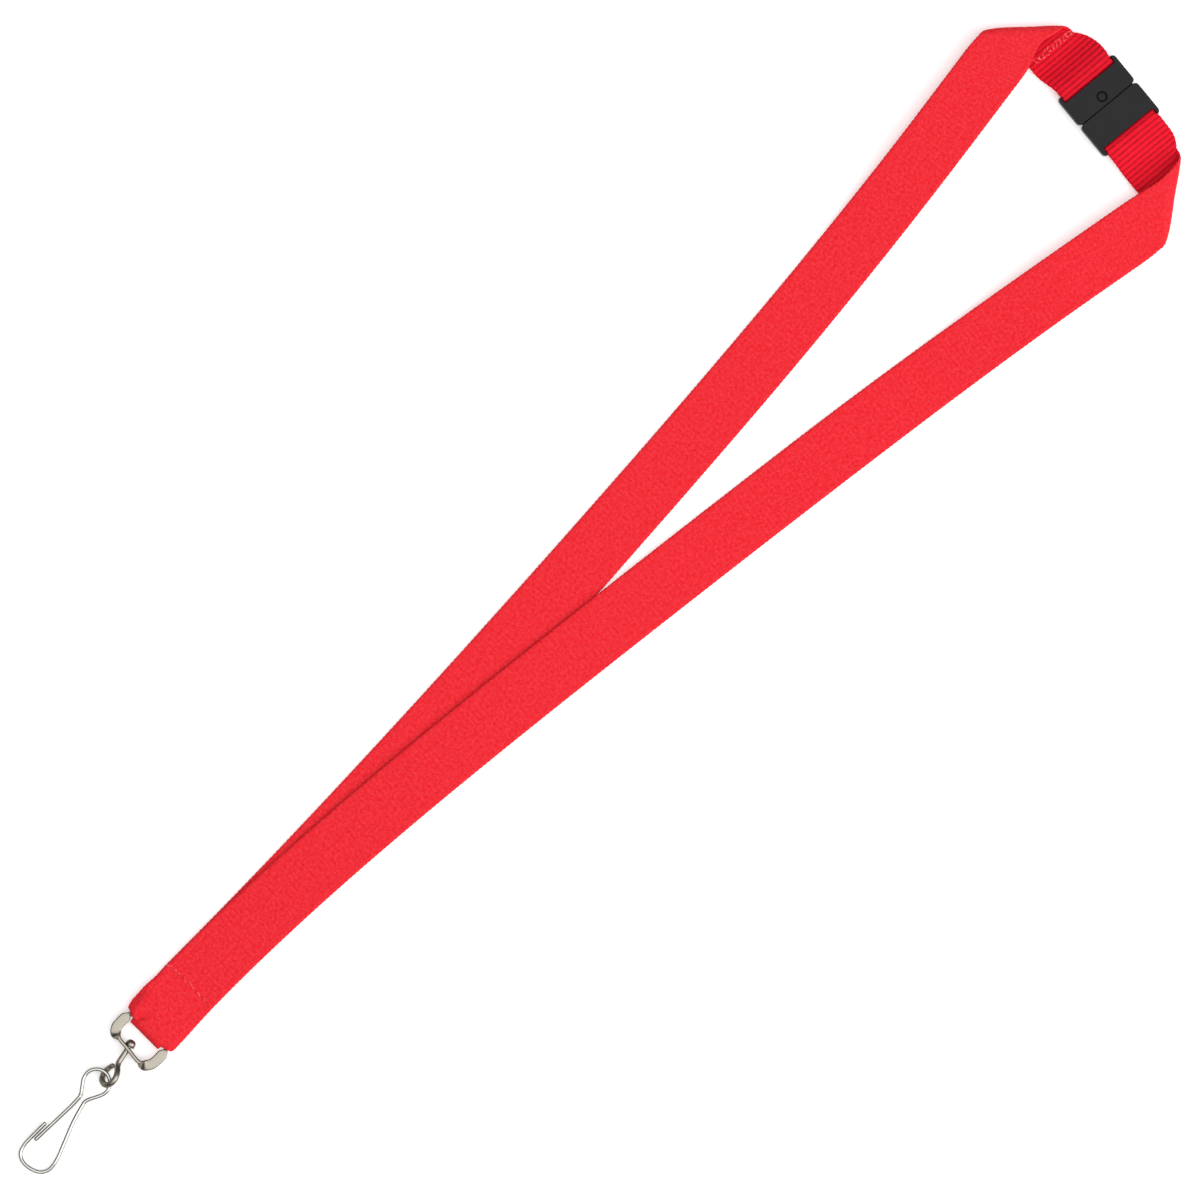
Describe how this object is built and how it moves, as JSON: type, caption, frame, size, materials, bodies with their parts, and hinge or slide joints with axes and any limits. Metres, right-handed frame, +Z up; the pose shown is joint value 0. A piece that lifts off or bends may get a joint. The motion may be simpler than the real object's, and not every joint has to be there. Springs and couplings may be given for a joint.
{
  "type": "lanyard",
  "caption": "Neck lanyard of flat ribbed webbing with a breakaway buckle behind the neck and a swivelling sprung wire hook.",
  "frame": {"origin": "centre of the flat-laid lanyard's outline, on the surface that it lies on", "axes": "+Y from the hook towards the buckle, +X towards the leg that lies on top, +Z up from the table"},
  "size_m": [0.0903, 0.4937, 0.0064],
  "materials": {
    "webbing": "ribbed woven polyester",
    "thread": "twisted polyester sewing thread",
    "buckle": "fine matte moulded acetal",
    "nickel_plate": "nickel plate over stamped steel",
    "spring_wire": "bright drawn spring wire"
  },
  "bodies": {
    "strap": {"right_leg": "webbing", "right_neck": "webbing", "end_loop": "webbing", "end_seam_thread": "thread", "right_neck_seam": "thread", "buckle_plug": "buckle"},
    "left_side": {"left_leg": "webbing", "left_neck": "webbing", "left_neck_seam": "thread", "buckle_socket": "buckle"},
    "bracket": {"swivel_bracket": "nickel_plate"},
    "swivel": {"swivel_eye": "nickel_plate"},
    "hook": {"hook_wire": "spring_wire"},
    "gate": {"hook_gate": "spring_wire"}
  },
  "joints": [
    {"name": "buckle_breakaway", "type": "hinge", "parent": "strap", "child": "left_side", "pos_m": [-0.00842, -0.16954, 0], "axis": [0, 0, 1], "range_deg": [0, 8]},
    {"name": "bracket_flap", "type": "hinge", "parent": "strap", "child": "bracket", "pos_m": [-0.00742, -0.18824, 0.0025], "axis": [1, 0, 0], "range_deg": [-80, 80]},
    {"name": "swivel_turn", "type": "hinge", "parent": "bracket", "child": "swivel", "pos_m": [-0.00812, -0.19733, 0.0029], "axis": [0.1994, -0.979, 0.0427], "continuous": true},
    {"name": "hook_swing", "type": "hinge", "parent": "swivel", "child": "hook", "pos_m": [-0.00752, -0.21194, 0.0027], "axis": [0, -0.0576, 0.9983], "range_deg": [-45, 45]},
    {"name": "gate_flex", "type": "hinge", "parent": "hook", "child": "gate", "pos_m": [-0.00797, -0.21903, 0.00229], "axis": [0, -0.0576, 0.9983], "range_deg": [0, 15], "stiffness_Nm_per_rad": 0.1}
  ]
}
